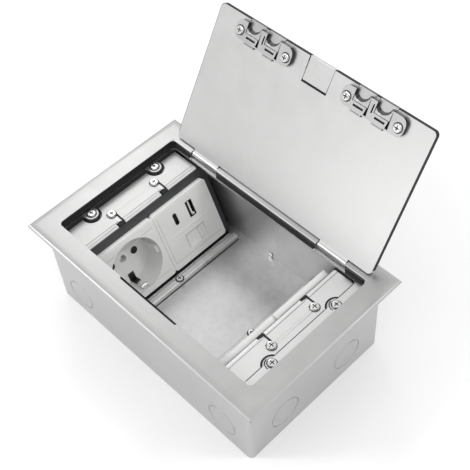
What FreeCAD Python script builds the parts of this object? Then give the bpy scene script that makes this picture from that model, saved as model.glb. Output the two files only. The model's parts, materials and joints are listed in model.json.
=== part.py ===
"""Floor socket box: a steel box set in a floor, with a hinged lid and two rows of modules.

Units are millimetres.  +Z is up.  The origin is the centre of the underside of the box.
X runs along the long side of the box and the lid hinges on the +Y side.
The lid stands open, as it rests when it is thrown right back.
"""
import FreeCAD, Part
import math
import os

import Sketcher

V = FreeCAD.Vector
doc = FreeCAD.newDocument("FloorSocketBox")

# ---------------------------------------------------------------- driving dimensions
SIZES = [
    ("top_height", 68.5, "top of the flange above the underside of the box"),
    ("box_length", 174.0, "outside of the steel box, along X"),
    ("box_width", 111.0, "outside of the steel box, along Y"),
    ("box_wall", 1.2, "sheet of the box"),
    ("box_corner", 3.0, "outside corner radius of the box"),
    ("floor_height", 8.0, "inside floor above the underside"),
    ("knockout_radius", 11.0, "cable entry knockouts"),
    ("knockout_x", 64.0, "knockouts of the long walls"),
    ("knockout_y", 26.5, "knockouts of the short walls"),
    ("knockout_z", 19.0, "height of the knockout centres"),
    ("flange_length", 192.2, "outside of the flange, along X"),
    ("flange_width", 122.6, "outside of the flange, along Y"),
    ("flange_sheet", 2.4, "depth of the flange at its rim"),
    ("flange_roll", 5.0, "width of the rolled edge of the flange"),
    ("flange_corner", 0.8, "outside corner radius of the flange"),
    ("opening_length", 164.26, "opening in the flange, along X"),
    ("opening_width", 94.44, "opening in the flange, along Y"),
    ("skirt_wall", 1.6, "sheet of the skirt round the opening"),
    ("ledge_top", 6.0, "ledge below the top of the flange"),
    ("ledge_sheet", 1.4, "sheet of the ledge"),
    ("ledge_x", 75.4, "inner edge of the ledge on the +X side"),
    ("lip_x", 81.3, "inner edge of the narrow lip on the -X side"),
    ("ledge_y", 46.2, "inner edge of the ledge, along Y"),
    ("ear_x", 77.8, "screw ears"),
    ("ear_y", 26.3, "screw ears"),
    ("ear_radius", 4.4, "screw ears"),
    ("lobe_radius", 5.5, "pads under the ears on the +X side"),
    ("wing_drop", 7.6, "top of the wing sheets below the top of the flange"),
    ("wing_sheet", 1.2, "sheet of the wings"),
    ("wing_screw_x", 69.15, "screws that clamp the wings"),
    ("wing_screw_near", 17.5, "screws that clamp the wings"),
    ("wing_screw_far", 17.9, "screws that clamp the wings"),
    ("carrier_sheet", 2.4, "thickness of the module carrier"),
    ("carrier_half", 50.5, "half width of the module carrier"),
    ("module_side", 45.0, "side of one module"),
    ("module_proud", 4.0, "module faces in front of the carrier"),
    ("module_start", 1.0, "first edge of the modules down the slope"),
    ("well_radius", 19.0, "earthed socket well"),
    ("well_depth", 17.5, "earthed socket well"),
    ("pin_spread", 9.5, "half the distance between the two pin holes"),
    ("lid_thick", 3.0, "lid plate"),
    ("lid_long", 163.4, "lid, along X, with its edge band"),
    ("lid_deep", 93.4, "lid, from the hinge edge to the free edge"),
    ("band_width", 0.4, "black band round the lid edge"),
    ("pivot_back", 3.2, "hinge axis behind the hinge edge of the lid"),
    ("pivot_sink", 0.84, "hinge axis below the inner face of the lid"),
    ("hinge_pin_radius", 0.9, "lid hinge pins"),
    ("hinge_play", 0.03, "running clearance of every hinge, on the radius"),
    ("knuckle_radius", 2.1, "lid hinge knuckles"),
    ("bracket_x", 41.85, "centre of each cable bracket"),
    ("bracket_long", 44.7, "cable bracket"),
    ("bracket_low", 79.5, "cable bracket, start up the lid"),
    ("bracket_high", 91.5, "cable bracket, end up the lid"),
    ("bracket_thick", 2.6, "cable bracket"),
    ("flap_wide", 12.4, "one cable flap"),
    ("flap_shift", -0.95, "middle of a pair of flaps from the middle of its bracket"),
    ("flap_pitch", 15.4, "between two neighbouring flaps"),
    ("flap_pivot", 84.0, "axis of the cable flaps up the lid"),
    ("flap_pin_radius", 0.6, "pins of the flaps and of the lift tab"),
    ("tab_half", 9.2, "half width of the lift tab"),
    ("tab_pivot", 79.0, "axis of the lift tab up the lid"),
]

sheet = doc.addObject("Spreadsheet::Sheet", "Dims")
for row, (alias, number, meaning) in enumerate(SIZES, start=1):
    sheet.set("A%d" % row, str(number))
    sheet.setAlias("A%d" % row, alias)
    sheet.set("B%d" % row, meaning)
doc.recompute()


class Dim:
    """A number together with the spreadsheet expression that drives it."""

    def __init__(self, value, text):
        self.value = float(value)
        self.text = text

    def __add__(self, other):
        return Dim(self.value + number(other), "(%s + %s)" % (self.text, words(other)))

    def __radd__(self, other):
        return Dim(self.value + number(other), "(%s + %s)" % (words(other), self.text))

    def __sub__(self, other):
        return Dim(self.value - number(other), "(%s - %s)" % (self.text, words(other)))

    def __rsub__(self, other):
        return Dim(number(other) - self.value, "(%s - %s)" % (words(other), self.text))

    def __mul__(self, other):
        return Dim(self.value * number(other), "(%s * %s)" % (self.text, words(other)))

    def __rmul__(self, other):
        return Dim(self.value * number(other), "(%s * %s)" % (words(other), self.text))

    def __truediv__(self, other):
        return Dim(self.value / number(other), "(%s / %s)" % (self.text, words(other)))

    def __neg__(self):
        return Dim(-self.value, "(-1 * %s)" % self.text)


def number(item):
    return item.value if isinstance(item, Dim) else float(item)


def words(item):
    return item.text if isinstance(item, Dim) else "(%.5f)" % float(item)


def size(alias):
    """The named cell of the sheet, as a Dim."""
    for name, value, _ in SIZES:
        if name == alias:
            return Dim(value, "Dims." + alias)
    raise KeyError(alias)


def bind(item, prop, value):
    """Set a property and tie it to the sheet when the value comes from there."""
    if isinstance(value, Dim):
        item.setExpression(prop, value.text)
    else:
        target = item
        names = prop.split(".")
        if len(names) == 1:
            setattr(target, prop, value)
        else:
            item.setExpression(prop, words(value))


# ---------------------------------------------------------------- building blocks
count = [0]
nodes = []


def fresh(kind, hint):
    count[0] += 1
    return doc.addObject(kind, "%s_%03d" % (hint, count[0]))


def put(item, x=0.0, y=0.0, z=0.0):
    bind(item, "Placement.Base.x", x)
    bind(item, "Placement.Base.y", y)
    bind(item, "Placement.Base.z", z)
    return item


def block(x0, x1, y0, y1, z0, z1):
    """An axis-aligned box between two corners."""
    item = fresh("Part::Box", "Block")
    bind(item, "Length", x1 - x0)
    bind(item, "Width", y1 - y0)
    bind(item, "Height", z1 - z0)
    return put(item, x0, y0, z0)


def rod(x, y, z, radius, length, axis="z"):
    """A cylinder that starts at (x, y, z) and runs along +axis."""
    item = fresh("Part::Cylinder", "Rod")
    bind(item, "Radius", radius)
    bind(item, "Height", length)
    turn = {"x": (V(0, 1, 0), 90), "y": (V(1, 0, 0), -90), "z": (V(0, 0, 1), 0)}[axis]
    item.Placement = FreeCAD.Placement(V(0, 0, 0), FreeCAD.Rotation(turn[0], turn[1]))
    return put(item, x, y, z)


def taper(x, y, z, low_radius, high_radius, height):
    """A cone or a cone's frustum standing on (x, y, z)."""
    item = fresh("Part::Cone", "Taper")
    bind(item, "Radius1", low_radius)
    bind(item, "Radius2", high_radius)
    bind(item, "Height", height)
    return put(item, x, y, z)


def ball(x, y, z, radius):
    item = fresh("Part::Sphere", "Ball")
    bind(item, "Radius", radius)
    return put(item, x, y, z)


def plane(body, role):
    return [f for f in body.Origin.OriginFeatures if f.Role == role][0]


def prism(points, start, length, role="XY_Plane"):
    """A closed outline of straight lines, padded from its plane's offset `start`.

    XY_Plane pads along +Z, XZ_Plane along -Y and YZ_Plane along +X.
    """
    body = fresh("PartDesign::Body", "Prism")
    sketch = body.newObject("Sketcher::SketchObject", "Outline_%03d" % count[0])
    sketch.AttachmentSupport = (plane(body, role), "")
    sketch.MapMode = "FlatFace"
    bind(sketch, "AttachmentOffset.Base.z", start)
    total = len(points)
    for i in range(total):
        a, b = points[i], points[(i + 1) % total]
        first = V(number(a[0]), number(a[1]), 0)
        second = V(number(b[0]), number(b[1]), 0)
        sketch.addGeometry(Part.LineSegment(first, second))
    for i in range(total):
        sketch.addConstraint(Sketcher.Constraint("Coincident", i, 2, (i + 1) % total, 1))
    for i, point in enumerate(points):
        for kind, part in (("DistanceX", point[0]), ("DistanceY", point[1])):
            at = sketch.addConstraint(Sketcher.Constraint(kind, -1, 1, i, 1, number(part)))
            if isinstance(part, Dim):
                sketch.setExpression("Constraints[%d]" % at, part.text)
    pad = body.newObject("PartDesign::Pad", "Pad_%03d" % count[0])
    pad.Profile = sketch
    bind(pad, "Length", length)
    return body


def rectangle(x0, x1, y0, y1):
    return [(x0, y0), (x1, y0), (x1, y1), (x0, y1)]


def upright_edges(shape, axis=2):
    """Names of the straight edges that run along one axis."""
    found = []
    for i, edge in enumerate(shape.Edges, start=1):
        if edge.Curve.TypeId != "Part::GeomLine":
            continue
        way = edge.tangentAt(edge.FirstParameter)
        if abs(way[axis]) > 0.999:
            found.append("Edge%d" % i)
    return found


def level_edges(shape, height):
    """Names of the edges that lie wholly at one height."""
    found = []
    for i, edge in enumerate(shape.Edges, start=1):
        box = edge.BoundBox
        if abs(box.ZMin - height) < 1e-4 and abs(box.ZMax - height) < 1e-4:
            found.append("Edge%d" % i)
    return found


def round_edges(body, names, radius):
    """Round named edges of a body's last feature."""
    doc.recompute()
    fillet = body.newObject("PartDesign::Fillet", "Round_%s" % body.Name)
    fillet.Base = (body.Group[-2], names)
    bind(fillet, "Radius", radius)
    doc.recompute()
    return body


def slab(x0, x1, y0, y1, z0, z1, corner=None, top_round=None):
    """A plate with rounded upright corners and, if asked, a rounded upper edge."""
    body = prism(rectangle(x0, x1, y0, y1), z0, z1 - z0)
    if corner is not None:
        doc.recompute()
        round_edges(body, upright_edges(body.Shape), corner)
    if top_round is not None:
        doc.recompute()
        round_edges(body, level_edges(body.Shape, number(z1)), top_round)
    return body


def join(*items):
    item = fresh("Part::MultiFuse", "Join")
    item.Shapes = list(items)
    return item


def carve(base, *tools):
    item = fresh("Part::Cut", "Carve")
    item.Base = base
    item.Tool = tools[0] if len(tools) == 1 else join(*tools)
    return item


def several(*items):
    """Separate solids that share one node."""
    item = fresh("Part::Compound", "Several")
    item.Links = list(items)
    return item


def node(name, item, place=None):
    """Name a finished sub-part and set it in its place."""
    doc.recompute()
    item.Label = name
    if place is not None:
        item.Placement = place
    nodes.append((name, item))
    return item


# ---------------------------------------------------------------- named values
T = size("top_height")
half_box_x = size("box_length") / 2
half_box_y = size("box_width") / 2
wall = size("box_wall")
inner_x = half_box_x - wall
inner_y = half_box_y - wall
floor_z = size("floor_height")
open_x = size("opening_length") / 2
open_y = size("opening_width") / 2
ear_x = size("ear_x")
ear_y = size("ear_y")
play = size("hinge_play")

HALF_TURN = FreeCAD.Placement(V(0, 0, 0), FreeCAD.Rotation(V(0, 0, 1), 180))
STAY = FreeCAD.Placement()
SIDES = (("left", STAY), ("right", HALF_TURN))

# The modules lie on a slope.  Its own axes are: X across the modules, Y up the slope and
# Z out of the faces, with the origin at the top of the carrier's front face.
SLOPE = math.radians(67.57)
slope_axes = FreeCAD.Rotation(
    V(0, 1, 0),
    V(-math.cos(SLOPE), 0, math.sin(SLOPE)),
    V(math.sin(SLOPE), 0, math.cos(SLOPE)),
    "ZXY",
)
SLOPE_X = -56.6
SLOPE_DROP = 13.36
slope_place = FreeCAD.Placement(V(SLOPE_X, 0, T.value - SLOPE_DROP), slope_axes)


def slope_point(down, out):
    """World X and depth below the flange of a point on the left slope."""
    x = SLOPE_X + math.cos(SLOPE) * down + math.sin(SLOPE) * out
    drop = SLOPE_DROP + math.sin(SLOPE) * down - math.cos(SLOPE) * out
    return x, drop


def arc_points(cx, cy, radius, start, end, steps):
    """Points along an arc, angles in degrees."""
    found = []
    for i in range(steps + 1):
        angle = math.radians(start + (end - start) * i / steps)
        found.append((cx + radius * math.cos(angle), cy + radius * math.sin(angle)))
    return found


def profile(points, y0, y1):
    """A section given as (X, drop below the flange), run from y0 to y1."""
    outline = [(x, T - drop) for x, drop in points]
    return prism(outline, -y1, y1 - y0, "XZ_Plane")


RAIL_SCREW_X = -31.6
RAIL_SCREW_Y = -1.2

# ---------------------------------------------------------------- steel box
def ring_groove(x, y, axis):
    """A shallow round groove that outlines one knockout on an outer wall."""
    radius = size("knockout_radius")
    z = size("knockout_z")
    depth = 0.5
    if axis == "y":
        start = y - depth if number(y) > 0 else y
        outer = rod(x, start, z, radius, depth, "y")
        inner = rod(x, start, z, radius - 0.7, depth, "y")
    else:
        start = x - depth if number(x) > 0 else x
        outer = rod(start, y, z, radius, depth, "x")
        inner = rod(start, y, z, radius - 0.7, depth, "x")
    return carve(outer, inner)


shell = slab(
    -half_box_x, half_box_x, -half_box_y, half_box_y, 0.0, T - size("flange_sheet"),
    size("box_corner"),
)
hollow = slab(-inner_x, inner_x, -inner_y, inner_y, -1.0, T, size("box_corner") - wall)
grooves = []
for sign in (-1, 1):
    for other in (-1, 1):
        grooves.append(ring_groove(sign * size("knockout_x"), other * half_box_y, "y"))
        grooves.append(ring_groove(sign * half_box_x, other * size("knockout_y"), "x"))
tabs = []
tab_holes = []
for sign in (-1, 1):
    for other in (-1, 1):
        x = sign * ear_x
        y = other * ear_y
        reach = size("lobe_radius") if sign > 0 else size("ear_radius")
        tabs.append(rod(x, y, T - 8.6, reach, 1.2))
        edge = sign * (half_box_x - 0.5)
        low, high = (edge, x) if sign < 0 else (x, edge)
        tabs.append(block(low, high, y - reach, y + reach, T - 8.6, T - 7.4))
        tab_holes.append(rod(x, y, T - 9.0, 1.5, 2.0))
rivet_holes = [rod(sign * 3.0, sign * -57.0 if sign > 0 else 52.0, 9.9, 1.0, 5.0, "y") for sign in (-1, 1)]
walls = carve(shell, hollow, *grooves)
node("housing", carve(join(walls, *tabs), *(tab_holes + rivet_holes)))

pan = slab(-inner_x, inner_x, -inner_y, inner_y, 0.0, floor_z, size("box_corner") - wall)
pan_hollow = slab(
    -inner_x + wall, inner_x - wall, -inner_y + wall, inner_y - wall, -1.0, floor_z - wall, 0.8
)
pan_holes = [rod(sx * 70.0, sy * 44.0, 6.0, 2.6, 3.0) for sx in (-1, 1) for sy in (-1, 1)]
pan_holes += [rod(sign * RAIL_SCREW_X, sign * RAIL_SCREW_Y, 6.0, 1.25, 3.0) for sign in (-1, 1)]
node("base_pan", carve(pan, pan_hollow, *pan_holes))


def wall_rivet(x, side):
    """A rivet through a long wall: a head inside and a shank out to the outer face."""
    if side > 0:
        head = rod(x, inner_y - 0.7, 9.9, 1.7, 0.7, "y")
        shank = rod(x, inner_y - 0.1, 9.9, 0.98, wall + 0.1, "y")
    else:
        head = rod(x, -inner_y, 9.9, 1.7, 0.7, "y")
        shank = rod(x, -half_box_y, 9.9, 0.98, wall + 0.1, "y")
    return join(head, shank)


node("wall_rivets", several(wall_rivet(-3.0, 1), wall_rivet(3.0, -1)))

# ---------------------------------------------------------------- flange, skirt and ledge
half_flange_x = size("flange_length") / 2
half_flange_y = size("flange_width") / 2
roll = size("flange_roll")


def roll_section(half):
    """Half-round rolled edge on both ends of a section of the flange."""
    low = T - size("flange_sheet")
    steps = ((0.0, 2.4), (0.0, 1.5), (0.15, 0.82), (0.375, 0.4), (0.65, 0.13), (1.0, 0.0))
    right = [(half - roll * part, T - drop) for part, drop in steps[1:]]
    left = [(-half + roll * part, T - drop) for part, drop in steps[1:]]
    return [(-half, low), (half, low)] + right + left[::-1]


rim_plate = slab(
    -half_flange_x, half_flange_x, -half_flange_y, half_flange_y,
    T - size("flange_sheet"), T + 1.0, size("flange_corner"),
)
roll_ends = prism(roll_section(half_flange_x), -half_flange_y - 1.0, half_flange_y * 2 + 2.0,
                  "XZ_Plane")
roll_sides = prism(roll_section(half_flange_y), -half_flange_x - 1.0, half_flange_x * 2 + 2.0,
                   "YZ_Plane")
rolled = fresh("Part::MultiCommon", "Rolled")
rolled.Shapes = [roll_ends, roll_sides]
rim = fresh("Part::MultiCommon", "Rim")
rim.Shapes = [rolled, rim_plate]
skirt = slab(
    -open_x - size("skirt_wall"),
    open_x + size("skirt_wall"),
    -open_y - size("skirt_wall"),
    open_y + size("skirt_wall"),
    T - size("ledge_top") - size("ledge_sheet"),
    T - 1.0,
    4.4,
)
mouth = slab(-open_x, open_x, -open_y, open_y, T - size("ledge_top"), T + 1.0, 3.0)
ledge_z = T - size("ledge_top") - size("ledge_sheet")
throat = slab(
    -size("lip_x"), size("ledge_x"), -size("ledge_y"), size("ledge_y"), ledge_z - 1.0, T, 3.0
)
ears = [
    rod(sx * ear_x, sy * ear_y, ledge_z, size("ear_radius"), size("ledge_sheet"))
    for sx in (-1, 1)
    for sy in (-1, 1)
]
ears += [
    block(-open_x, -ear_x, sy * ear_y - 4.0, sy * ear_y + 4.0, ledge_z, T - size("ledge_top"))
    for sy in (-1, 1)
]
ear_holes = [
    rod(sx * ear_x, sy * ear_y, ledge_z - 1.0, 1.8, 4.0) for sx in (-1, 1) for sy in (-1, 1)
]
NOTCH_NEAR = 42.4
NOTCH_FAR = 65.3
PIVOT_Y = 49.8
PIVOT_DROP = 2.16
notches = []
lugs = []
pin_bores = []
for sign in (-1, 1):
    near, far = (NOTCH_NEAR, NOTCH_FAR) if sign > 0 else (-NOTCH_FAR, -NOTCH_NEAR)
    notches.append(block(near, far, open_y - 0.6, 52.9, T - 4.7, T + 1.0))
    lugs.append(block(near - 3.0, near, open_y + 0.4, 52.3, T - 5.0, T - 2.0))
    lugs.append(block(far, far + 3.0, open_y + 0.4, 52.3, T - 5.0, T - 2.0))
    pin_bores.append(
        rod(near - 2.6, PIVOT_Y, T - PIVOT_DROP, size("hinge_pin_radius"), far - near + 5.2, "x")
    )
finger = slab(-24.0, 24.0, -open_y - 1.3, -open_y + 4.0, T - 2.4, T + 1.0, 1.2)
# a small bevel on the rear edge lets the lid edge swing past
bevel_size = 0.5
relief = prism(
    [
        (open_y - 0.3, T + 0.3),
        (open_y + bevel_size + 0.1, T + 0.1),
        (open_y - 0.1, T - bevel_size - 0.1),
        (open_y - 0.3, T - bevel_size - 0.1),
    ],
    -open_x,
    2 * open_x,
    "YZ_Plane",
)
frame_ring = carve(join(rim, skirt), mouth, throat)
frame_solid = join(frame_ring, *(lugs + ears))
node("bezel_frame", carve(frame_solid, *(notches + pin_bores + ear_holes + [finger, relief])))

gasket_ring = slab(
    -open_x, open_x, -open_y, open_y, T - size("ledge_top"), T - 3.2, 3.0
)
gasket_hollow = slab(-open_x + 0.75, open_x - 1.2, -46.25, 46.25, T - 7.0, T, 2.4)
gasket_gaps = [
    block(-NOTCH_FAR - 0.8, -NOTCH_NEAR + 0.8, 45.0, 48.0, T - 7.0, T),
    block(NOTCH_NEAR - 0.8, NOTCH_FAR + 0.8, 45.0, 48.0, T - 7.0, T),
]
node("gasket", carve(gasket_ring, gasket_hollow, *gasket_gaps))

pins = [
    rod(
        start - 2.6, PIVOT_Y, T - PIVOT_DROP, size("hinge_pin_radius"),
        NOTCH_FAR - NOTCH_NEAR + 5.2, "x",
    )
    for start in (-NOTCH_FAR, NOTCH_NEAR)
]
node("hinge_pins", several(*pins))


def cross_screw(x, y, seat_z, head_radius, head_height, shank_radius, shank_length):
    """A pan-head screw that points down, with a cross recess."""
    head = taper(x, y, seat_z, head_radius, head_radius * 0.82, head_height)
    shank = rod(x, y, seat_z - shank_length, shank_radius, shank_length + 0.2)
    reach = head_radius * 0.55
    slot_z = seat_z + head_height * 0.45
    slot_top = seat_z + head_height + 1.0
    across = block(x - reach, x + reach, y - 0.32, y + 0.32, slot_z, slot_top)
    along = block(x - 0.32, x + 0.32, y - reach, y + reach, slot_z, slot_top)
    return carve(join(head, shank), across, along)


ear_screws = [
    cross_screw(sx * ear_x, sy * ear_y, T - 6.0, 3.0, 1.1, 1.45, 4.2)
    for sx in (-1, 1)
    for sy in (-1, 1)
]
node("frame_screws", several(*ear_screws))

wing_spots = []
for sign in (-1, 1):
    wing_spots.append((sign * size("wing_screw_x"), sign * size("wing_screw_near")))
    wing_spots.append((sign * size("wing_screw_x"), sign * -1 * size("wing_screw_far")))
wing_screws = [
    cross_screw(x, y, T - size("wing_drop"), 3.1, 1.36, 1.45, 7.0) for x, y in wing_spots
]
node("wing_screws", several(*wing_screws))

rail_screws = [
    cross_screw(sign * RAIL_SCREW_X, sign * RAIL_SCREW_Y, T - 57.0, 2.5, 1.2, 1.2, 6.4)
    for sign in (-1, 1)
]
node("rail_screws", several(*rail_screws))

# ---------------------------------------------------------------- the two rows of modules
BEND_X = -60.6
BEND_DROP = 9.8


def bend(radius):
    """The wing's fold, from flat to the slope, as (X, drop) points."""
    found = arc_points(BEND_X, -BEND_DROP, radius, 90.0, 90.0 - 67.57, 4)
    return [(x, -z) for x, z in found]


def make_wing(outer):
    """The flat sheet over one row, folded down on to the carrier."""
    drop = size("wing_drop").value
    sheet_low = drop + size("wing_sheet").value
    crease = [(-62.3, drop), (-62.2, drop + 0.2), (-61.9, drop + 0.2), (-61.8, drop)]
    section = [(outer, drop)] + crease + bend(2.2) + bend(1.0)[::-1] + [(outer, sheet_low)]
    strip = profile(section, -45.0, 45.0)
    cuts = []
    for sy in (-1, 1):
        cuts.append(rod(-77.8, sy * 26.3, T - 10.0, 6.2, 4.0))
        cuts.append(block(-88.0, -77.8, sy * 26.3 - 6.2, sy * 26.3 + 6.2, T - 10.0, T - 6.0))
    for middle in (-1 * size("wing_screw_near"), size("wing_screw_far")):
        cuts.append(rod(-1 * size("wing_screw_x"), middle, T - 10.0, 1.7, 4.0))
        cuts.append(block(-69.15, -57.0, middle - 0.4, middle + 0.4, T - 12.0, T - 6.0))
        cuts.append(block(-61.4, -57.0, middle - 3.1, middle + 0.4, T - 12.0, T - 6.0))
    return carve(strip, *cuts)


def make_support():
    leg = block(-inner_x, -inner_x + 1.2, -40.0, 40.0, T - 30.0, T - 10.4)
    shelf = block(-inner_x, -62.0, -40.0, 40.0, T - 11.6, T - 10.4)
    near = -1 * size("wing_screw_near")
    far = size("wing_screw_far")
    holes = [rod(-1 * size("wing_screw_x"), y, T - 13.0, 1.5, 4.0) for y in (near, far)]
    return carve(join(leg, shelf), *holes)


def make_carrier():
    back = -size("carrier_sheet").value
    section = [(-72.0, 8.8)] + bend(0.98)
    section += [slope_point(-4.6, -1.35), slope_point(-4.6, 0.0)]
    section += [slope_point(49.6, 0.0), slope_point(49.6, back)]
    section += [(slope_point(-4.19, back)[0], 10.4), (-72.0, 10.4)]
    half = size("carrier_half").value
    plate = profile(section, -half, half)
    window = block(-43.8, 43.8, -44.8, -2.2, -6.0, 3.0)
    near = -1 * size("wing_screw_near")
    far = size("wing_screw_far")
    holes = [rod(-1 * size("wing_screw_x"), y, T - 12.0, 1.7, 4.0) for y in (near, far)]
    opening = several(window)
    opening.Placement = slope_place
    return carve(plate, opening, *holes)


def make_rail():
    section = [(-37.1, 60.5), (-37.1, 57.4), (-36.6, 57.0), (-36.0, 57.0), (-36.0, 58.4)]
    section += [(-34.0, 58.4), (-34.0, 57.0)]
    nose = arc_points(-30.6, -58.7, 1.7, 90.0, 0.0, 5)
    section += [(x, -z) for x, z in nose]
    section += [(-28.9, 60.5)]
    bar = profile(section, -49.5, 49.5)
    core = profile([(-33.2, 61.0), (-33.2, 58.3), (-30.8, 58.3), (-30.1, 59.2), (-30.1, 61.0)],
                   -50.0, 50.0)
    steps = [
        block(-38.0, -33.5, 47.6, 50.0, T - 61.0, T - 56.0),
        block(-38.0, -33.5, -50.0, -47.6, T - 61.0, T - 56.0),
    ]
    hole = rod(RAIL_SCREW_X, RAIL_SCREW_Y, T - 61.0, 1.25, 6.0)
    return carve(bar, core, hole, *steps)


WELL_U = -22.5
WELL_V = -23.5
side = size("module_side")
proud = size("module_proud")
start = size("module_start")
well_r = size("well_radius")
well_floor = proud - size("well_depth")
spread = size("pin_spread")


def face_plate(u0, u1):
    """The square face of one module, standing on the carrier."""
    return slab(u0, u1, -start - side + 0.1, -start - 0.1, 0.0, proud, 2.0)


def make_schuko_cover():
    plate = face_plate(-side + 0.1, -0.1)
    cup = rod(WELL_U, WELL_V, well_floor - 1.4, well_r + 1.2, 15.0)
    hollow_well = rod(WELL_U, WELL_V, well_floor, well_r, 30.0)
    pin_holes = [rod(WELL_U + k * spread, WELL_V, well_floor - 3.0, 2.6, 5.0) for k in (-1, 1)]
    screw_hole = rod(WELL_U, WELL_V, well_floor - 3.0, 2.6, 5.0)
    ribs = []
    for k in (-1, 1):
        low, high = (17.0, 19.4) if k > 0 else (-19.4, -17.0)
        ribs.append(block(WELL_U + low, WELL_U + high, WELL_V - 2.6, WELL_V + 2.6,
                          well_floor, proud - 2.5))
    shell_part = carve(join(plate, cup), hollow_well, screw_hole, *pin_holes)
    return join(shell_part, *ribs)


def make_schuko_contacts():
    sleeves = []
    for k in (-1, 1):
        tube = rod(WELL_U + k * spread, WELL_V, well_floor - 7.4, 3.2, 6.0)
        bore = rod(WELL_U + k * spread, WELL_V, well_floor - 6.6, 2.4, 7.0)
        sleeves.append(carve(tube, bore))
    return several(*sleeves)


def make_earth_clips():
    clips = []
    for k in (-1, 1):
        near_edge = WELL_V + k * 17.4
        far_edge = WELL_V + k * 18.85
        low, high = (near_edge, far_edge) if k > 0 else (far_edge, near_edge)
        blade = block(WELL_U - 2.2, WELL_U + 2.2, low, high, well_floor, proud - 2.2)
        bump_at = WELL_V + k * 17.3
        bump = rod(WELL_U - 2.2, bump_at, proud - 4.6, 1.1, 4.4, "x")
        clips.append(join(blade, bump))
    return several(*clips)


def make_schuko_screw():
    return cross_screw(WELL_U, WELL_V, well_floor - 3.6, 2.4, 1.2, 1.2, 3.0)


def make_schuko_body():
    top = well_floor - 1.4
    mass = block(WELL_U - 20.5, WELL_U + 20.5, -40.0, -6.0, top - 7.0, top)
    bores = [rod(WELL_U + k * spread, WELL_V, top - 6.0, 3.25, 8.0) for k in (-1, 1)]
    screw_bore = rod(WELL_U, WELL_V, top - 6.0, 1.25, 8.0)
    sink_bore = rod(WELL_U, WELL_V, top - 2.2, 2.6, 4.0)
    return carve(mass, screw_bore, sink_bore, *bores)


WINDOW = (16.6, 32.4, -38.0, -27.7)
USB_A = (27.8, -13.3)
USB_C = (15.0, -13.2)


def make_data_cover():
    plate = face_plate(0.1, side - 0.1)
    skirt_low = block(1.4, 43.5, -44.6, -2.4, -14.0, 0.1)
    inner = block(2.6, 42.3, -43.4, -3.6, -14.5, 2.6)
    window = block(WINDOW[0], WINDOW[1], WINDOW[2], WINDOW[3], 2.0, 6.0)
    usb_a = block(USB_A[0] - 2.65, USB_A[0] + 2.65, USB_A[1] - 6.05, USB_A[1] + 6.05, 2.0, 6.0)
    usb_c = slab(USB_C[0] - 1.55, USB_C[0] + 1.55, USB_C[1] - 4.45, USB_C[1] + 4.45, 2.0, 6.0, 1.5)
    ridge = block(6.0, 39.5, -23.3, -22.7, 3.9, 4.25)
    return carve(join(plate, skirt_low, ridge), inner, window, usb_a, usb_c)


def make_usb_a():
    u, v = USB_A
    can = block(u - 2.6, u + 2.6, v - 6.0, v + 6.0, -10.0, 3.8)
    bore = block(u - 2.2, u + 2.2, v - 5.6, v + 5.6, -9.0, 5.0)
    tongue = block(u - 2.0, u - 0.5, v - 4.9, v + 4.9, -9.2, 2.6)
    return join(carve(can, bore), tongue)


def make_usb_c():
    u, v = USB_C
    can = slab(u - 1.5, u + 1.5, v - 4.4, v + 4.4, -10.0, 3.8, 1.4)
    bore = slab(u - 1.2, u + 1.2, v - 4.1, v + 4.1, -9.0, 5.0, 1.1)
    tongue = block(u - 0.35, u + 0.35, v - 3.3, v + 3.3, -9.2, 2.9)
    return join(carve(can, bore), tongue)


def make_jack():
    mass = block(20.6, 34.0, -40.4, -25.8, -14.0, 1.1)
    socket = block(22.1, 32.4, -37.8, -27.9, -12.5, 3.0)
    latch = block(25.0, 29.5, -39.4, -37.0, -12.5, 3.0)
    return carve(mass, socket, latch)


def make_shutter():
    leaf = block(15.4, 33.4, -38.8, -26.9, 1.25, 2.5)
    grip = block(26.9, 28.0, -37.4, -28.2, 2.4, 4.2)
    return join(leaf, grip)


def make_board():
    return several(block(2.7, 42.2, -24.2, -4.0, -11.6, -10.0))


def make_data_body():
    mass = block(2.0, 43.0, -40.0, -5.0, -20.5, -14.0)
    step = block(4.0, 41.0, -24.0, -6.0, -14.0, -11.6)
    return join(mass, step)


ROW_PIECES = [
    ("wing", make_wing, False),
    ("support", make_support, False),
    ("carrier", make_carrier, False),
    ("rail", make_rail, False),
    ("schuko_cover", make_schuko_cover, True),
    ("schuko_contacts", make_schuko_contacts, True),
    ("schuko_earth_clips", make_earth_clips, True),
    ("schuko_screw", make_schuko_screw, True),
    ("schuko_body", make_schuko_body, True),
    ("data_cover", make_data_cover, True),
    ("usb_a_port", make_usb_a, True),
    ("usb_c_port", make_usb_c, True),
    ("rj45_jack", make_jack, True),
    ("rj45_shutter", make_shutter, True),
    ("data_board", make_board, True),
    ("data_body", make_data_body, True),
]
for row, turn in SIDES:
    for name, maker, on_slope in ROW_PIECES:
        place = turn.multiply(slope_place) if on_slope else turn
        if name == "wing":
            made = maker(-85.2 if row == "left" else -74.6)
        else:
            made = maker()
        node("%s_%s" % (row, name), made, place)

# ---------------------------------------------------------------- lid
# The lid has its own axes: X along the hinge, Y up the lid from its hinge edge and
# Z out of its inner face.
LEAN = 31.33
lean = math.radians(LEAN)
up_y, up_z = math.sin(lean), math.cos(lean)
back = size("pivot_back").value
sink = size("pivot_sink").value
lid_y = PIVOT_Y + back * up_y - sink * up_z
lid_z = T.value - PIVOT_DROP + back * up_z + sink * up_y
lid_place = FreeCAD.Placement(V(0, lid_y, lid_z), FreeCAD.Rotation(V(1, 0, 0), 90 - LEAN))

thick = size("lid_thick")
lid_half = size("lid_long") / 2
lid_deep = size("lid_deep")
band = size("band_width")
mid = -1 * thick / 2
flap_pin = size("flap_pin_radius")
bracket_x = size("bracket_x")
flap_pivot = size("flap_pivot")
tab_pivot = size("tab_pivot")
flap_half = size("flap_wide") / 2


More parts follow.
